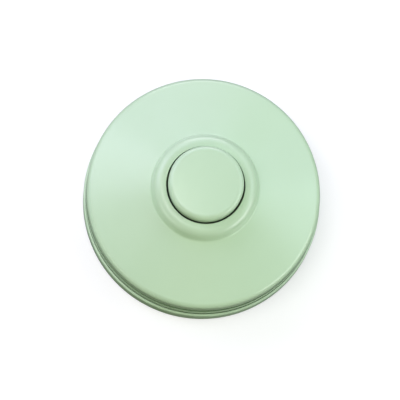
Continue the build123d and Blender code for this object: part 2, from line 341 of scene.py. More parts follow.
def turn(name: str, outline: list[Corner], steps: int, x: float = 0.0) -> bpy.types.Object:
    """Turns an outline about an upright axis, as on a lathe.

    Args:
        name: Name of the piece.
        outline: Corners in order. It is closed where it stays off the axis.
        steps: Steps around the axis.
        x: Place of the axis along X in millimetres.

    Returns:
        The turned piece.
    """
    bpy.ops.object.select_all(action="DESELECT")
    bpy.ops.mesh.primitive_plane_add(size=MM)
    piece = named(name)
    with edit(piece):
        draw(piece, outline, closed=outline[0].radius > 0)
        bpy.ops.mesh.select_all(action="SELECT")
        bpy.ops.mesh.spin(
            steps=steps, angle=math.tau, use_auto_merge=True, center=(0, 0, 0), axis=(0, 0, 1)
        )
        bpy.ops.mesh.select_all(action="SELECT")
        bpy.ops.mesh.remove_doubles(threshold=MERGE)
        bpy.ops.mesh.normals_make_consistent(inside=False)
        bpy.ops.transform.translate(value=(x * MM, 0, 0))
    return piece


def dress(
    piece: bpy.types.Object,
    finish: bpy.types.Material,
    node: str,
    body: Body | None,
) -> bpy.types.Object:
    """Smooths a finished piece, gives it its finish and puts it in the place of its CAD node.

    Args:
        piece: Finished mesh.
        finish: Material of the piece.
        node: CAD node that the piece stands for.
        body: Body that the piece rides on, or none if it bends between the two.

    Returns:
        The piece.
    """
    piece.data.materials.clear()
    piece.data.materials.append(finish)
    hold(piece)
    bpy.ops.object.shade_smooth_by_angle(angle=SMOOTH_ANGLE)
    apply_modifier(piece, "WEIGHTED_NORMAL", keep_sharp=True)
    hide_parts(node)
    if body:
        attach(piece, body.value)
    log.info("%s: %d faces, %s", piece.name, len(piece.data.polygons), finish.name)
    return piece


@dataclass(frozen=True)
class Finish:
    """What every finish shares: a named material whose patterns lie in the piece's own frame."""

    name: str

    def start(self) -> tuple[bpy.types.Material, bpy.types.NodeTree, bpy.types.NodeSocket]:
        """Opens an empty material.

        Returns:
            The material, its node tree and the socket with the place on the piece.
        """
        material = bpy.data.materials.new(self.name)
        material.use_nodes = True
        tree = material.node_tree
        tree.nodes.clear()
        return material, tree, add_node(tree, "ShaderNodeTexCoord").outputs["Object"]


@dataclass(frozen=True)
class Recess:
    """Ring that is painted darker as shade, between two levels and two radii in millimetres."""

    low: float
    high: float
    inner: float
    outer: float
    # Dark colour painted as shade in the ring, how much of it covers the ring, and the width of its soft
    # edge in millimetres
    painted_shade: str = "5C7C55"
    share: float = 0.9
    edge: float = 0.05

    def mask(
        self, tree: bpy.types.NodeTree, level: bpy.types.NodeSocket, radius: bpy.types.NodeSocket
    ) -> bpy.types.NodeSocket:
        """Builds the recess's mask.

        Args:
            tree: Node tree of the finish.
            level: Socket with the height on the piece.
            radius: Socket with the distance from the button's axis.

        Returns:
            Socket with the share of the surface that the painted shade covers, which is 0 outside the
            recess.
        """
        share = None
        for source, start, end in (
            (level, self.low - self.edge, self.low + self.edge),
            (level, self.high + self.edge, self.high - self.edge),
            (radius, self.inner - self.edge, self.inner + self.edge),
            (radius, self.outer + self.edge, self.outer - self.edge),
        ):
            limits = {"From Min": start * MM, "From Max": end * MM}
            ramp = add_node(tree, "ShaderNodeMapRange", limits, {"Value": source}).outputs["Result"]
            factors = {0: share, 1: ramp} if share else {1: ramp}
            product = add_node(tree, "ShaderNodeMath", {"operation": "MULTIPLY", 0: self.share}, factors)
            share = product.outputs[0]
        return share


@dataclass(frozen=True)
class MouldedAbs(Finish):
    """Polished injection-moulded ABS in pale mint.

    The pigment is even, so the eye sees only a faint cloudiness. The mould was polished, so the skin shines
    softly, with the slight waviness that the plastic keeps as it shrinks. Its recesses are painted a darker
    green as shade.
    """

    colour: str = "BCD7B4"
    pale_colour: str = "BFDAB8"
    roughness: float = 0.3
    roughness_spread: float = 0.01
    ior: float = 1.54
    cloud_mm: float = 9.0
    peel_mm: float = 2.0
    peel_depth_mm: float = 0.0008
    peel_detail: float = 1.0
    gloss_patch_mm: float = 5.0
    recesses: tuple[Recess, ...] = ()

    def build(self) -> bpy.types.Material:
        """Makes the material and returns it."""
        material, tree, place = self.start()
        cloud = add_node(
            tree, "ShaderNodeTexNoise", {"Scale": 1 / (self.cloud_mm * MM)}, {"Vector": place}
        )
        colour = add_node(
            tree,
            "ShaderNodeMix",
            {"data_type": "RGBA", MIX_A: linear(self.colour), MIX_B: linear(self.pale_colour)},
            {"Factor": cloud.outputs["Fac"]},
        )
        flat = add_node(tree, "ShaderNodeMapping", {"Scale": (1, 1, 0)}, {"Vector": place})
        radius = add_node(
            tree, "ShaderNodeVectorMath", {"operation": "LENGTH"}, {0: flat.outputs["Vector"]}
        ).outputs["Value"]
        level = add_node(tree, "ShaderNodeSeparateXYZ", links={"Vector": place}).outputs["Z"]
        # Painted shade: each ring is mixed towards its dark colour where shade falls in the grooves, the
        # seam, the gap and at the foot of the wall
        for recess in self.recesses:
            colour = add_node(
                tree,
                "ShaderNodeMix",
                {"data_type": "RGBA", MIX_B: linear(recess.painted_shade)},
                {"Factor": recess.mask(tree, level, radius), MIX_A: colour.outputs[MIX_RESULT]},
            )
        patch = add_node(
            tree, "ShaderNodeTexNoise", {"Scale": 1 / (self.gloss_patch_mm * MM)}, {"Vector": place}
        )
        spread = self.roughness_spread
        gloss = add_node(
            tree,
            "ShaderNodeMapRange",
            {"To Min": self.roughness - spread, "To Max": self.roughness + spread},
            {"Value": patch.outputs["Fac"]},
        )
        peel = add_node(
            tree,
            "ShaderNodeTexNoise",
            {"Scale": 1 / (self.peel_mm * MM), "Detail": self.peel_detail},
            {"Vector": place},
        )
        bump = add_node(
            tree, "ShaderNodeBump", {"Distance": self.peel_depth_mm * MM}, {"Height": peel.outputs["Fac"]}
        )
        shader = add_node(
            tree,
            "ShaderNodeBsdfPrincipled",
            {"IOR": self.ior},
            {
                "Base Color": colour.outputs[MIX_RESULT],
                "Roughness": gloss.outputs["Result"],
                "Normal": bump.outputs["Normal"],
            },
        )
        add_node(tree, "ShaderNodeOutputMaterial", links={"Surface": shader.outputs["BSDF"]})
        return material


@dataclass(frozen=True)
class RolledStrip(Finish):
    """Cold-rolled copper alloy strip: fine rolling lines along X and a brown tarnish in soft clouds.

    Real rolling lines are a few hundredths of a millimetre apart. They are drawn coarser so that they show.
    """

    colour: str
    tarnish: str
    smoothest: float = 0.2
    roughest: float = 0.4
    line_mm: float = 0.2
    line_length_mm: float = 12.0
    line_depth_mm: float = 0.002
    tarnish_mm: float = 3.0
    tarnish_detail: float = 4.0

    def build(self) -> bpy.types.Material:
        """Makes the material and returns it."""
        material, tree, place = self.start()
        cloud = add_node(
            tree,
            "ShaderNodeTexNoise",
            {"Scale": 1 / (self.tarnish_mm * MM), "Detail": self.tarnish_detail},
            {"Vector": place},
        )
        colour = add_node(
            tree,
            "ShaderNodeMix",
            {"data_type": "RGBA", MIX_A: linear(self.colour), MIX_B: linear(self.tarnish)},
            {"Factor": cloud.outputs["Fac"]},
        )
        along, across = 1 / (self.line_length_mm * MM), 1 / (self.line_mm * MM)
        stretch = {"Scale": (along, across, across)}
        stretched = add_node(tree, "ShaderNodeMapping", stretch, {"Vector": place})
        lines = add_node(
            tree, "ShaderNodeTexNoise", {"Scale": 1.0}, {"Vector": stretched.outputs["Vector"]}
        )
        gloss = add_node(
            tree,
            "ShaderNodeMapRange",
            {"To Min": self.smoothest, "To Max": self.roughest},
            {"Value": lines.outputs["Fac"]},
        )
        bump = add_node(
            tree, "ShaderNodeBump", {"Distance": self.line_depth_mm * MM}, {"Height": lines.outputs["Fac"]}
        )
        shader = add_node(
            tree,
            "ShaderNodeBsdfPrincipled",
            {"Metallic": 1.0},
            {
                "Base Color": colour.outputs[MIX_RESULT],
                "Roughness": gloss.outputs["Result"],
                "Normal": bump.outputs["Normal"],
            },
        )
        add_node(tree, "ShaderNodeOutputMaterial", links={"Surface": shader.outputs["BSDF"]})
        return material


@dataclass(frozen=True)
class GrainedMetal(Finish):
    """Small pressed, plated or coined metal part: a fine even grain, with tone and shine in soft patches.

    Real plating grain is some hundredths of a millimetre across. It is drawn coarser so that it shows.
    """

    colour: str
    patch_colour: str
    roughness: float
    smoother: float = 0.06
    rougher: float = 0.1
    patch_mm: float = 1.6
    patch_detail: float = 3.0
    grain_mm: float = 0.15
    grain_depth_mm: float = 0.003

    def build(self) -> bpy.types.Material:
        """Makes the material and returns it."""
        material, tree, place = self.start()
        patch = add_node(
            tree,
            "ShaderNodeTexNoise",
            {"Scale": 1 / (self.patch_mm * MM), "Detail": self.patch_detail},
            {"Vector": place},
        )
        colour = add_node(
            tree,
            "ShaderNodeMix",
            {"data_type": "RGBA", MIX_A: linear(self.colour), MIX_B: linear(self.patch_colour)},
            {"Factor": patch.outputs["Fac"]},
        )
        gloss = add_node(
            tree,
            "ShaderNodeMapRange",
            {"To Min": self.roughness - self.smoother, "To Max": self.roughness + self.rougher},
            {"Value": patch.outputs["Fac"]},
        )
        grain = add_node(tree, "ShaderNodeTexNoise", {"Scale": 1 / (self.grain_mm * MM)}, {"Vector": place})
        bump = add_node(
            tree, "ShaderNodeBump", {"Distance": self.grain_depth_mm * MM}, {"Height": grain.outputs["Fac"]}
        )
        shader = add_node(
            tree,
            "ShaderNodeBsdfPrincipled",
            {"Metallic": 1.0},
            {
                "Base Color": colour.outputs[MIX_RESULT],
                "Roughness": gloss.outputs["Result"],
                "Normal": bump.outputs["Normal"],
            },
        )
        add_node(tree, "ShaderNodeOutputMaterial", links={"Surface": shader.outputs["BSDF"]})
        return material


@dataclass
class Cover:
    """Clip-on cover: a turned shell with a conical face, a boss and a ribbed guide for the button."""

    seam_height: float = 1.5
    seam_depth: float = 1.2
    band_height: float = 2.2
    groove_height: float = 2.0
    groove_depth: float = 1.1
    rim_setback: float = 0.1
    rim_height: float = 4.4
    rim_rounding: float = 2.0
    edge_rounding: float = 0.2
    boss_foot_radius: float = 14.8
    boss_foot_rounding: float = 0.9
    boss_height: float = 4.3
    boss_flank_deg: float = 77.0
    lip_rounding: float = 2.7
    bore_radius: float = 10.8
    bore_rounding: float = 0.1
    wall: float = 2.0
    skirt_wall: float = 2.3
    inside_rounding: float = 0.8
    guide_wall: float = 2.0
    guide_length: float = 7.0
    clip_lift: float = 3.8
    clip_height: float = 1.4
    clip_depth: float = 0.5
    # Painted shade: where it starts in from the skirt, and the darker colour and reach of the shade painted
    # in the gap round the button
    painted_shade_inset: float = 0.7
    gap_painted_shade: str = "39463A"
    gap_inside: float = 0.8
    gap_outside: float = 0.2
    rib_count: int = 6
    rib_width: float = 1.2
    rib_reach: float = 9.0
    rib_lift: float = 0.8
    steps: int = 224

    def __post_init__(self) -> None:
        """Takes the shell's reach from its CAD node and works out its levels."""
        low, high = (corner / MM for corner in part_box("cover"))
        self.seat, self.lip_top, self.band_radius = low.z, high.z, high.x
        self.rim_radius = self.band_radius - self.rim_setback
        self.skirt_inner = self.band_radius - self.skirt_wall
        self.band_bottom = self.seat + self.seam_height
        self.band_top = self.band_bottom + self.band_height
        self.rim_bottom = self.band_top + self.groove_height
        self.rim_top = self.rim_bottom + self.rim_height
        self.boss_foot = self.lip_top - self.boss_height
        flank = math.radians(self.boss_flank_deg)
        self.lip_radius = self.boss_foot_radius - self.boss_height / math.tan(flank)
        self.clip_radius = self.skirt_inner + self.clip_depth
        self.groove_radius = self.rim_radius - self.groove_depth
        self.painted_shade_inner = self.skirt_inner + self.painted_shade_inset
        self.guide_outer = self.bore_radius + self.guide_wall
        self.guide_bottom = self.lip_top - self.guide_length
        self.slope = (self.boss_foot - self.rim_top) / (self.rim_radius - self.boss_foot_radius)
        self.wall_drop = self.wall * math.hypot(1, self.slope)

    def cone(self, radius: float) -> float:
        """Level of the conical face at a radius."""
        return self.rim_top + (self.rim_radius - radius) * self.slope

    def painted_shade(self) -> tuple[Recess, Recess, Recess]:
        """Painted shade in the groove under the rim, in the seam over the base and in the gap round the
        button.
        """
        edge, half = Recess.edge, self.edge_rounding / 2
        groove = Recess(self.band_top - half, self.rim_bottom, self.painted_shade_inner, self.band_radius - edge)
        seam = Recess(self.seat - half, self.band_bottom, self.painted_shade_inner, self.band_radius + edge)
        inner, outer = self.bore_radius - self.gap_inside, self.bore_radius + self.gap_outside
        gap = Recess(self.guide_bottom, self.lip_top - 4 * half, inner, outer, self.gap_painted_shade)
        return groove, seam, gap

    def outline(self) -> list[Corner]:
        """Section of the shell, from the seam over the face and boss, down the guide and back inside."""
        clip_low = self.seat + self.clip_lift
        clip_high = clip_low + self.clip_height
        return [
            Corner(self.skirt_inner, self.seat),
            Corner(self.band_radius - self.seam_depth, self.seat),
            Corner(self.band_radius - self.seam_depth, self.band_bottom),
            Corner(self.band_radius, self.band_bottom, self.edge_rounding),
            Corner(self.band_radius, self.band_top, self.edge_rounding),
            Corner(self.groove_radius, self.band_top),
            Corner(self.groove_radius, self.rim_bottom),
            Corner(self.rim_radius, self.rim_bottom, self.edge_rounding),
            Corner(self.rim_radius, self.rim_top, self.rim_rounding),
            Corner(self.boss_foot_radius, self.boss_foot, self.boss_foot_rounding),
            Corner(self.lip_radius, self.lip_top, self.lip_rounding),
            Corner(self.bore_radius, self.lip_top, self.bore_rounding),
            Corner(self.bore_radius, self.guide_bottom),
            Corner(self.guide_outer, self.guide_bottom),
            Corner(self.guide_outer, self.cone(self.guide_outer) - self.wall_drop),
            Corner(self.skirt_inner, self.cone(self.skirt_inner) - self.wall_drop, self.inside_rounding),
            Corner(self.skirt_inner, clip_high),
            Corner(self.clip_radius, clip_high),
            Corner(self.clip_radius, clip_low),
            Corner(self.skirt_inner, clip_low),
        ]

    def rib(self) -> bpy.types.Object:
        """Models one gusset between the guide and the conical wall, at +X."""
        root, end = self.guide_outer - self.guide_wall / 2, self.guide_outer + self.rib_reach
        bottom, top = self.guide_bottom + self.rib_lift, self.cone(root) - self.wall_drop / 2
        half = self.rib_width / 2
        gusset = block("guide_rib", Vector((root, -half, bottom)), Vector((end, half, top)))
        with edit(gusset):
            pick(gusset, Grip.VERTS, lambda place, _: place.x > end - NEAR and place.z > top - NEAR)
            bpy.ops.transform.translate(value=(0, 0, (self.cone(end) - self.cone(root)) * MM))
            bpy.ops.mesh.select_all(action="SELECT")
            bpy.ops.mesh.bisect(plane_co=(self.guide_outer * MM, 0, 0), plane_no=(1, 0, 0))
            pick(gusset, Grip.VERTS, lambda place, _: place.x > end - NEAR and abs(place.z - bottom) < NEAR)
            bpy.ops.transform.translate(value=(0, 0, (self.cone(end) - self.wall_drop - bottom) * MM))
        return gusset

    def build(self, finish: bpy.types.Material) -> None:
        """Turns the shell, works the ribs in and dresses it."""
        shell = turn("cover_shell", self.outline(), self.steps)
        work_in(shell, star(self.rib(), self.rib_count, math.pi / self.rib_count), Fuse.ADD)
        dress(shell, finish, "cover", Body.HOUSING)


@dataclass
class BasePlate:
    """Moulded base plate. Its CAD mesh has the true form, so it only gets its painted shade and its finish.
    """

    # Painted shade at the foot of the flange: its levels, its reach past the cover, its soft edge and how
    # dark it is
    painted_shade_low: float = -2.0
    painted_shade_high: float = 1.6
    painted_shade_overhang: float = 2.0
    painted_shade_fade: float = 1.5
    painted_shade_share: float = 0.45

    def painted_shade(self, inner: float, cover_radius: float) -> Recess:
        """Painted shade along the foot of the flange, from a radius to past the cover, that fades upwards.
        """
        outer = cover_radius + self.painted_shade_overhang
        share, fade = self.painted_shade_share, self.painted_shade_fade
        return Recess(self.painted_shade_low, self.painted_shade_high, inner, outer, share=share, edge=fade)

    def dress(self, finish: bpy.types.Material) -> None:
        """Gives the CAD node its finish."""
        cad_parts["base"].data.materials[0] = finish
        log.info("base: CAD mesh, %s", finish.name)


@dataclass
class PushButton:
    """Push button: a crowned, turned cap with a retaining flange, a hollow stem and four ribs."""

    cap_radius: float = 10.3
    crown: float = 0.4
    edge_rounding: float = 1.5
    wall: float = 1.6
    face_wall: float = 1.8
    flange_thickness: float = 1.1
    cap_height: float = 11.05
    stem_radius: float = 2.7
    stem_bore: float = 1.5
    rib_count: int = 4
    rib_width: float = 1.0
    rib_height: float = 3.0
    crown_stations: int = 8
    crown_stop: float = 1.1
    steps: int = 160

    def __post_init__(self) -> None:
        """Takes the cap's reach from its CAD node."""
        low, high = (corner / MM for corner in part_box("push_button"))
        self.stem_end, self.top, self.flange_radius = low.z, high.z, high.x
        self.edge = self.top - self.crown
        self.ceiling = self.edge - self.face_wall
        self.inner = self.cap_radius - self.wall
        self.flange_top = self.top - self.cap_height
        self.flange_bottom = self.flange_top - self.flange_thickness

    def outline(self) -> list[Corner]:
        """Section of the cap, from the top of the crown out, down and back to the axis inside."""
        ball = (self.cap_radius**2 + self.crown**2) / (2 * self.crown)
        flat = self.cap_radius - self.crown_stop * self.edge_rounding
        stations = [flat * index / self.crown_stations for index in range(self.crown_stations + 1)]
        crowned = [Corner(r, self.top - ball + math.sqrt(ball**2 - r**2)) for r in stations]
        return crowned + [
            Corner(self.cap_radius, self.edge, self.edge_rounding),
            Corner(self.cap_radius, self.flange_top),
            Corner(self.flange_radius, self.flange_top),
            Corner(self.flange_radius, self.flange_bottom),
            Corner(self.inner, self.flange_bottom),
            Corner(self.inner, self.ceiling),
            Corner(self.stem_radius, self.ceiling),
            Corner(self.stem_radius, self.stem_end),
            Corner(self.stem_bore, self.stem_end),
            Corner(self.stem_bore, self.ceiling),
            Corner(0, self.ceiling),
        ]

    def build(self, finish: bpy.types.Material) -> None:
        """Turns the cap, works the ribs in and dresses it."""
        cap = turn("button_cap", self.outline(), self.steps)
        half, overlap = self.rib_width / 2, self.wall / 2
        low = Vector(((self.stem_radius + self.stem_bore) / 2, -half, self.ceiling - self.rib_height))
        rib = block("stem_rib", low, Vector((self.inner + overlap, half, self.ceiling + overlap)))
        work_in(cap, star(rib, self.rib_count, 0), Fuse.ADD)
        dress(cap, finish, "push_button", Body.BUTTON)


@dataclass
class ContactStrip:
    """Contact strip from a terminal to the middle: a folded blank with a tapered, round-ended tongue.

    Places along the strip count from the button's axis towards the tongue's tip.
    """

    name: str
    node: str
    hand: Hand
    thickness: float
    path: list[tuple[float, float]]
    tongue_width: float = 5.0
    width: float = 7.0
    bend_rounding: float = 1.2
    holes: dict[float, float] = field(default_factory=lambda: {18.0: 3.4, 12.0: 2.5, 0.0: 1.7})
    row_mm: float = 0.5
    row_match: float = 0.0002
    tip_step_deg: int = 10

    @property
    def side(self) -> int:
        """Sign along X of the way from the terminal to the tip."""
        return -self.hand.value

    def rows(self) -> list[float]:
        """Places along the strip at which the blank is divided, closer together round the tip."""
        start, tip = self.path[0][0], self.path[-1][0]
        count = round((tip - start) / self.row_mm)
        even = [start + (tip - start) * index / count for index in range(1, count)]
        turns = [math.radians(angle) for angle in range(self.tip_step_deg, 90, self.tip_step_deg)]
        return even + [tip - self.tongue_width / 2 * (1 - math.cos(angle)) for angle in turns]

    def half_width(self, along: float) -> float:
        """Half the width at a place along the strip."""
        root, tip = self.path[1][0], self.path[-1][0]
        round_half = self.tongue_width / 2
        middle = tip - round_half
        reach = math.hypot(middle - root, self.width / 2)
        lean = math.atan2(self.width / 2, middle - root) - math.asin(round_half / reach)
        touch = middle + round_half * math.sin(lean)
        if along <= root:
            return self.width / 2
        if along <= touch:
            return self.width / 2 - (along - root) * math.tan(lean)
        return math.sqrt(max(round_half**2 - (along - middle) ** 2, 0))

    def blank(self) -> bpy.types.Object:
        """Folds a strip of even width along the path and divides it into rows."""
        bpy.ops.object.select_all(action="DESELECT")
        bpy.ops.mesh.primitive_plane_add(size=MM)
        strip = named(self.name)
        rounding = [0, self.bend_rounding, self.bend_rounding, 0]
        outline = [Corner(self.side * x, z, r) for (x, z), r in zip(self.path, rounding)]
        with edit(strip):
            draw(strip, outline, closed=False)
            bpy.ops.mesh.select_all(action="SELECT")
            bpy.ops.transform.translate(value=(0, -self.width / 2 * MM, 0))
            bpy.ops.mesh.extrude_edges_move(TRANSFORM_OT_translate={"value": (0, self.width * MM, 0)})
            for along in self.rows():
                bpy.ops.mesh.select_all(action="SELECT")
                bpy.ops.mesh.bisect(plane_co=(self.side * along * MM, 0, 0), plane_no=(1, 0, 0))
        return strip

    def taper(self, strip: bpy.types.Object) -> None:
        """Draws the rows of a blank in to the strip's outline and turns its faces up."""
        side = self.side
        with edit(strip):
            rows = {round(v.co.x / MM * side, 4) for v in bmesh.from_edit_mesh(strip.data).verts}
            match = self.row_match
            for row in sorted(rows):
                pick(strip, Grip.VERTS, lambda place, _, row=row: abs(place.x * side - row) < match)
                share = self.half_width(row) / (self.width / 2)
                bpy.ops.transform.resize(value=(1, share, 1), center_override=(side * row * MM, 0, 0))
            bpy.ops.mesh.select_all(action="SELECT")
            bpy.ops.mesh.remove_doubles(threshold=MERGE)
            bpy.ops.mesh.normals_make_consistent(inside=False)
            if sum(face.normal.z for face in bmesh.from_edit_mesh(strip.data).faces) < 0:
                bpy.ops.mesh.flip_normals()

    def build(self, finish: bpy.types.Material, slot: str, body: Body | None) -> bpy.types.Object:
        """Folds, tapers, thickens and pierces the strip, and dresses it.

        Args:
            finish: Material of the strip.
            slot: Not used.
            body: Body that the strip rides on, or none if it bends between the two.

        Returns:
            The strip.
        """
        strip = self.blank()
        self.taper(strip)
        apply_modifier(strip, "SOLIDIFY", thickness=self.thickness * MM, offset=1.0, use_even_offset=True)
        levels = [z for _, z in self.path]
        for distance, diameter in self.holes.items():
            drill(strip, -self.side * distance, diameter, min(levels), max(levels) + self.thickness)
        return dress(strip, finish, self.node, body)


@dataclass
class ContactTip:
    """Silver contact rivet: a coined face on one side of a strip and a clenched tail on the other."""

    name: str
    node: str
    facing: Facing
    strip_thickness: float
    shank_radius: float = 0.8
    tail_radius: float = 1.2
    face_height: float = 0.5
    face_rounding: float = 0.25
    tail_rounding: float = 0.1
    steps: int = ROUND_STEPS

    def build(self, finish: bpy.types.Material, body: Body) -> None:
        """Turns the rivet and dresses it."""
        low, high = (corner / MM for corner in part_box(self.node))
        face, tail = (high.z, low.z) if self.facing is Facing.UP else (low.z, high.z)
        strip_front = face - self.facing.value * self.face_height
        strip_back = strip_front - self.facing.value * self.strip_thickness
        outline = [
            Corner(0, face),
            Corner(high.x, face, self.face_rounding),
            Corner(high.x, strip_front),
            Corner(self.shank_radius, strip_front),
            Corner(self.shank_radius, strip_back),
            Corner(self.tail_radius, strip_back),
            Corner(self.tail_radius, tail, self.tail_rounding),
            Corner(0, tail),
        ]
        dress(turn(self.name, outline, self.steps), finish, self.node, body)


@dataclass
class StripRivet:
    """Tubular rivet that holds a contact strip to the base, with its tail flared in the back."""

    hand: Hand
    shank_radius: float = 1.2
    head_height: float = 0.7
    bore_radius: float = 0.65
    bore_depth: float = 3.0
    rounding: float = 0.35
    steps: int = ROUND_STEPS

    def build(self, finish: bpy.types.Material) -> None:
        """Turns the rivet at the height of its own strip and dresses it."""
        side = self.hand.name.lower()
        low, high = (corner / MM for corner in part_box(f"{side}_strip_rivet"))
        head_radius = (high.x - low.x) / 2
        head_bottom, tail_top = high.z - self.head_height, low.z + self.head_height
        outline = [
            Corner(0, high.z),
            Corner(head_radius, high.z, self.rounding),
            Corner(head_radius, head_bottom),
            Corner(self.shank_radius, head_bottom),
            Corner(self.shank_radius, tail_top),
            Corner(head_radius, tail_top),
            Corner(head_radius, low.z, self.rounding),
            Corner(self.bore_radius, low.z, self.rounding / 2),
            Corner(self.bore_radius, low.z + self.bore_depth),
            Corner(0, low.z + self.bore_depth),
        ]
        rivet = turn(f"{side}_rivet", outline, self.steps, (low.x + high.x) / 2)
        dress(rivet, finish, f"{side}_strip_rivet", Body.HOUSING)


@dataclass
class SwitchContacts:
    """Switch under the button: a leaf that bends, a fixed strip, their contact tips and their rivets."""

    strip_end: float = 22.4
    pad_top: float = 7.0
    fold: float = 8.4
    leaf_rise_end: float = 2.8
    leaf_level: float = 8.7
    leaf_tip: float = 3.5
    leaf_thickness: float = 0.25
    leaf_bend_end: float = 1.6
    fixed_drop_end: float = 6.2
    fixed_level: float = 5.15
    fixed_tip: float = 2.8
    fixed_thickness: float = 0.5

    def build(
        self,
        bronze: bpy.types.Material,
        brass: bpy.types.Material,
        silver: bpy.types.Material,
        rivet_brass: bpy.types.Material,
    ) -> None:
        """Builds the two strips, leaves the leaf on neither body, and adds the tips and rivets.

        Args:
            bronze: Finish of the leaf.
            brass: Finish of the fixed strip.
            silver: Finish of the contact tips.
            rivet_brass: Finish of the rivets.
        """
        flat = [(-self.strip_end, self.pad_top), (-self.fold, self.pad_top)]
        path = flat + [(-self.leaf_rise_end, self.leaf_level), (self.leaf_tip, self.leaf_level)]
        leaf = ContactStrip("contact_leaf", "contact_spring", Hand.LEFT, self.leaf_thickness, path)
        bending = leaf.build(bronze, "spring_bronze", None)
        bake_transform(bending)
        path = flat + [(-self.fixed_drop_end, self.fixed_level), (self.fixed_tip, self.fixed_level)]
        fixed = ContactStrip("fixed_strip", "fixed_contact", Hand.RIGHT, self.fixed_thickness, path)
        fixed.build(brass, "contact_brass", Body.HOUSING)
        moving_tip = ContactTip("moving_tip", "moving_contact_tip", Facing.DOWN, self.leaf_thickness)
        moving_tip.build(silver, Body.BUTTON)
        fixed_tip = ContactTip("fixed_tip", "fixed_contact_tip", Facing.UP, self.fixed_thickness)
        fixed_tip.build(silver, Body.HOUSING)
        for hand in Hand:
            StripRivet(hand).build(rivet_brass)


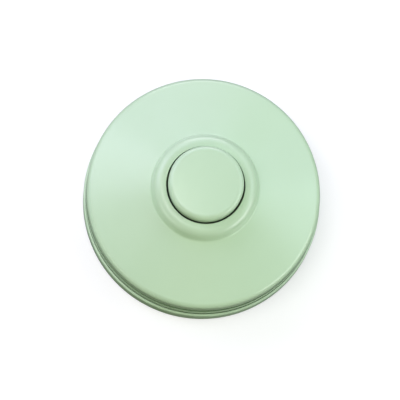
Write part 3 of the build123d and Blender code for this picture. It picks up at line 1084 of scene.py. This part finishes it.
@dataclass
class Terminals:
    """Wire terminals: on each side a clamp washer, a threaded screw and a trapped square nut."""

    washer_hole: float = 3.4
    washer_corner_share: float = 0.5
    washer_chamfer_share: float = 0.25
    washer_facets: int = 6
    head_height: float = 1.8
    head_rounding: float = 0.6
    slot_width: float = 0.8
    slot_depth: float = 0.9
    thread_radius: float = 1.47
    core_radius: float = 1.2
    pitch: float = 0.5
    ridge_bite: float = 0.1
    ridge_share: float = 0.86
    thread_steps: int = 32
    point: float = 0.375
    nut_hole: float = 3.0
    nut_corner_share: float = 1 / 12
    nut_edge: float = 0.06
    nut_edge_facets: int = 2
    steps: int = ROUND_STEPS

    @staticmethod
    def reach(hand: Hand, part: str) -> tuple[Vector, Vector]:
        """Lowest and highest corner of one of a side's nodes, in millimetres."""
        low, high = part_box(f"{hand.name.lower()}_{part}")
        return low / MM, high / MM

    def washer(self) -> bpy.types.Object:
        """Models the left clamp washer: a square with rounded corners, a chamfered top and a hole."""
        low, high = self.reach(Hand.LEFT, "clamp_washer")
        thickness = high.z - low.z
        washer = block("left_washer", low, high)
        with edit(washer, Grip.EDGES):
            pick(washer, Grip.EDGES, lambda _, along: abs(along.z) > ALIGNED)
            corner, chamfer = thickness * self.washer_corner_share, thickness * self.washer_chamfer_share
            bpy.ops.mesh.bevel(offset=corner * MM, segments=self.washer_facets, affect="EDGES")
            pick(washer, Grip.FACES, lambda _, normal: normal.z > ALIGNED)
            bpy.ops.mesh.bevel(offset=chamfer * MM, segments=1, affect="EDGES")
        drill(washer, (low.x + high.x) / 2, self.washer_hole, low.z, high.z)
        return washer

    def thread(self, x: float, low: float, high: float) -> bpy.types.Object:
        """Winds the screw's thread as one helical ridge that bites into the core.

        Args:
            x: Place of the screw along X in millimetres.
            low: Level of the first turn's crest in millimetres.
            high: Level that the last turn stays below, in millimetres.

        Returns:
            The ridge, closed at both ends.
        """
        bpy.ops.object.select_all(action="DESELECT")
        bpy.ops.mesh.primitive_plane_add(size=MM)
        ridge = named("thread_ridge")
        bite, half = self.core_radius - self.ridge_bite, self.ridge_share * self.pitch / 2
        outline = [Corner(bite, low - half), Corner(self.thread_radius, low), Corner(bite, low + half)]
        with edit(ridge):
            draw(ridge, outline, closed=True)
        apply_modifier(
            ridge,
            "SCREW",
            screw_offset=self.pitch * MM,
            iterations=int((high - low) / self.pitch),
            steps=self.thread_steps,
            render_steps=self.thread_steps,
        )
        with edit(ridge):
            bpy.ops.mesh.select_all(action="SELECT")
            bpy.ops.mesh.remove_doubles(threshold=MERGE)
            bpy.ops.mesh.fill_holes(sides=4)
            bpy.ops.mesh.normals_make_consistent(inside=False)
            bpy.ops.transform.translate(value=(x * MM, 0, 0))
        return ridge

    def screw(self) -> bpy.types.Object:
        """Turns the left screw's pan head and core, works the thread in and cuts the slot."""
        low, high = self.reach(Hand.LEFT, "terminal_screw")
        x, head_radius = (low.x + high.x) / 2, (high.x - low.x) / 2
        head_bottom = high.z - self.head_height
        outline = [
            Corner(0, high.z),
            Corner(head_radius, high.z, self.head_rounding),
            Corner(head_radius, head_bottom),
            Corner(self.core_radius, head_bottom),
            Corner(self.core_radius, low.z + self.point),
            Corner(self.core_radius - self.point, low.z),
            Corner(0, low.z),
        ]
        screw = turn("left_screw", outline, self.steps, x)
        ridge = self.thread(x, low.z + self.point + self.pitch / 2, head_bottom - self.pitch / 2)
        work_in(screw, ridge, Fuse.ADD)
        half = self.slot_width / 2
        slot_low = Vector((low.x - OVERCUT, -half, high.z - self.slot_depth))
        slot = block("screw_slot", slot_low, Vector((high.x + OVERCUT, half, high.z + OVERCUT)))
        work_in(screw, slot, Fuse.CUT)
        return screw

    def nut(self) -> bpy.types.Object:
        """Models the left square nut with its corners taken off, its hole drilled and its edges broken."""
        low, high = self.reach(Hand.LEFT, "square_nut")
        nut = block("left_nut", low, high)
        with edit(nut, Grip.EDGES):
            pick(nut, Grip.EDGES, lambda _, along: abs(along.z) > ALIGNED)
            corner = (high.x - low.x) * self.nut_corner_share
            bpy.ops.mesh.bevel(offset=corner * MM, segments=1, affect="EDGES")
        drill(nut, (low.x + high.x) / 2, self.nut_hole, low.z, high.z)
        edge, facets = self.nut_edge * MM, self.nut_edge_facets
        apply_modifier(nut, "BEVEL", width=edge, segments=facets, limit_method="ANGLE")
        return nut

    def build(
        self, sheet: bpy.types.Material, turned: bpy.types.Material, pressed: bpy.types.Material
    ) -> None:
        """Models the left terminal, copies it to the right at its own strip's height and dresses both.

        Args:
            sheet: Finish of the washers.
            turned: Finish of the screws.
            pressed: Finish of the nuts.
        """
        for piece, part, finish, slot in (
            (self.washer(), "clamp_washer", sheet, "clamp_steel"),
            (self.screw(), "terminal_screw", turned, "screw_steel"),
            (self.nut(), "square_nut", pressed, "nut_steel"),
        ):
            step = (self.reach(Hand.RIGHT, part)[0] - self.reach(Hand.LEFT, part)[0]) * MM
            other = copied(piece, piece.name.replace("left", "right"), Matrix.Translation(step))
            dress(piece, finish, f"left_{part}", Body.HOUSING)
            dress(other, finish, f"right_{part}", Body.HOUSING)


@dataclass
class Softbox:
    """One studio light, aimed at the middle of the bell push."""

    name: str
    azimuth_deg: float
    elevation_deg: float
    power_w: float
    colour: str = "FFFFFF"
    distance_mm: float = 600.0
    width_mm: float = 300.0
    height_mm: float = 240.0

    def build(self, target: Vector) -> None:
        """Adds the light, which faces a point."""
        azimuth, elevation = math.radians(self.azimuth_deg), math.radians(self.elevation_deg)
        level = math.cos(elevation)
        direction = Vector((math.cos(azimuth) * level, math.sin(azimuth) * level, math.sin(elevation)))
        lamp = bpy.data.lights.new(self.name, "AREA")
        lamp.shape = "RECTANGLE"
        lamp.size, lamp.size_y = self.width_mm * MM, self.height_mm * MM
        lamp.energy = self.power_w
        lamp.color = linear(self.colour)[:3]
        light = bpy.data.objects.new(self.name, lamp)
        light.location = target + direction * self.distance_mm * MM
        light.rotation_euler = (-direction).to_track_quat("-Z", "Y").to_euler()
        bpy.context.scene.collection.objects.link(light)


@dataclass
class Studio:
    """White sweep of floor, soft light all round and the camera that looks down on the bell push."""

    camera_tilt_deg: float = 10.97
    camera_lean_deg: float = 15.34
    camera_distance_mm: float = 900.0
    frame_mm: float = 110.74
    sensor_mm: float = 36.0
    image_px: float = 400.0
    axis_px: tuple[float, float] = (202.98, 194.84)
    axis_level_mm: float = 12.2
    floor_mm: float = 4000.0
    floor_drop_mm: float = 0.02
    card_colour: str = "C4C4C4"
    card_glow: float = 0.5
    card_roughness: float = 0.9
    light_level_mm: float = 16.0
    world_strength: float = 0.01

    def build_camera(self) -> None:
        """Puts the camera at the photograph's viewing angle, with the axis at its place in the frame."""
        tilt, lean = math.radians(self.camera_tilt_deg), math.radians(self.camera_lean_deg)
        back = Vector((-math.sin(lean) * math.sin(tilt), -math.cos(lean) * math.sin(tilt), math.cos(tilt)))
        right = Vector((0, 1, 0)).cross(back).normalized()
        up = back.cross(right)
        px = self.frame_mm / self.image_px * MM
        aim = Vector((0, 0, self.axis_level_mm * MM))
        aim -= right * (self.axis_px[0] - self.image_px / 2) * px
        aim -= up * (self.image_px / 2 - self.axis_px[1]) * px
        lens = bpy.data.cameras.new("studio_camera")
        lens.sensor_width = self.sensor_mm
        lens.lens = self.sensor_mm * self.camera_distance_mm / self.frame_mm
        camera = bpy.data.objects.new("studio_camera", lens)
        turned = Matrix((right, up, back)).transposed().to_4x4()
        camera.matrix_world = Matrix.Translation(aim + back * self.camera_distance_mm * MM) @ turned
        bpy.context.scene.collection.objects.link(camera)
        bpy.context.scene.camera = camera

    def build_floor(self) -> None:
        """Lays the pale floor a hair under the back face."""
        bpy.ops.object.select_all(action="DESELECT")
        level = -self.floor_drop_mm * MM
        bpy.ops.mesh.primitive_plane_add(size=self.floor_mm * MM, location=(0, 0, level))
        floor = named("studio_floor")
        # Matt white card lit from behind: scatters light evenly with no shine, and its shadows are pale
        card = bpy.data.materials.new("matt_white_card")
        card.use_nodes = True
        shader = card.node_tree.nodes["Principled BSDF"]
        shader.inputs["Base Color"].default_value = linear(self.card_colour)
        shader.inputs["Emission Color"].default_value = linear("FFFFFF")
        shader.inputs["Emission Strength"].default_value = self.card_glow
        shader.inputs["Roughness"].default_value = self.card_roughness
        shader.inputs["Specular IOR Level"].default_value = 0.0
        floor.data.materials.append(card)
        # The floor lights nothing from below, so the seams and the foot of the wall stay dark
        floor.visible_diffuse = floor.visible_glossy = False

    def build_light(self) -> None:
        """Sets the dim surroundings and the softboxes: three high up, a ring around and four low down."""
        scene = bpy.context.scene
        scene.view_settings.view_transform = "Standard"
        world = bpy.data.worlds.new("light_tent")
        world.use_nodes = True
        background = world.node_tree.nodes["Background"]
        background.inputs["Color"].default_value = linear("FFFFFF")
        background.inputs["Strength"].default_value = self.world_strength
        scene.world = world
        top = {"elevation_deg": 78, "distance_mm": 800, "width_mm": 300, "height_mm": 300}
        overhead = {"elevation_deg": 68, "distance_mm": 800, "width_mm": 400, "height_mm": 400}
        ring = {"elevation_deg": 38}
        low = {"elevation_deg": 15, "width_mm": 500, "height_mm": 160}
        for softbox in (
            Softbox("top_left", 180, power_w=1.12, colour="FFFDF9", **top),
            Softbox("overhead_left", 180, power_w=1.3, **overhead),
            Softbox("overhead_near", 270, power_w=0.36, colour="FFEEE6", **overhead),
            Softbox("ring_right", 0, power_w=0.75, colour="E0F2FF", **ring),
            Softbox("ring_right_far", 30, power_w=0.36, colour="CDD5FF", **ring),
            Softbox("ring_far_right", 60, power_w=0.19, colour="DCFFE2", **ring),
            Softbox("ring_far", 90, power_w=0.27, colour="E4E8FF", **ring),
            Softbox("ring_far_left", 120, power_w=0.35, colour="D3C4FF", **ring),
            Softbox("ring_left_far", 150, power_w=1.0, colour="E3E1FF", **ring),
            Softbox("ring_left_near", 240, power_w=0.11, colour="F5FF90", **ring),
            Softbox("ring_near", 270, power_w=0.08, colour="FFEC80", **ring),
            Softbox("ring_right_near", 330, power_w=0.06, colour="D0FFB0", **ring),
            Softbox("low_far", 90, power_w=1.59, colour="F9F0FF", **low),
            Softbox("low_left_far", 150, power_w=0.82, colour="D4D2FF", **low),
            Softbox("low_left_near", 210, power_w=1.11, colour="F6FFED", **low),
            Softbox("low_right_near", 330, power_w=2.07, **low),
        ):
            softbox.build(Vector((0, 0, self.light_level_mm * MM)))

    def build(self) -> None:
        """Builds the floor, the light and the camera."""
        self.build_floor()
        self.build_light()
        self.build_camera()


def main() -> None:
    """Builds the bell push piece by piece, then the studio."""
    logging.basicConfig(level=logging.INFO, format="%(name)s: %(message)s")
    cover, base = Cover(), BasePlate()
    # Painted shade in the groove, the seam, the gap round the button and along the foot of the wall
    groove, seam, gap = cover.painted_shade()
    foot = base.painted_shade(cover.painted_shade_inner, cover.band_radius)
    base.dress(MouldedAbs("plain_mint_abs", "BBD6B3", roughness=0.33, recesses=(seam, foot)).build())
    cover.build(MouldedAbs("polished_mint_abs", recesses=(groove, seam, gap)).build())
    PushButton().build(MouldedAbs("handled_mint_abs", recesses=(gap,)).build())
    SwitchContacts().build(
        bronze=RolledStrip("phosphor_bronze_strip", "C58B5C", "8F5A38").build(),
        brass=RolledStrip("half_hard_brass_strip", "CFAE62", "9C7A3C").build(),
        silver=GrainedMetal("coined_silver", "DCDAD4", "B9B6AE", roughness=0.25).build(),
        rivet_brass=GrainedMetal("drawn_brass", "CBA85E", "A8843F", roughness=0.27).build(),
    )
    Terminals().build(
        sheet=GrainedMetal("zinc_plated_sheet_steel", "C6C7C3", "A5A7A6", roughness=0.36).build(),
        turned=GrainedMetal("zinc_plated_screw_steel", "C3C6C4", "A9ACAD", roughness=0.3).build(),
        pressed=GrainedMetal("zinc_plated_nut_steel", "BDBFBC", "9EA1A1", roughness=0.38).build(),
    )
    Studio().build()


if __name__ == "__main__":
    main()
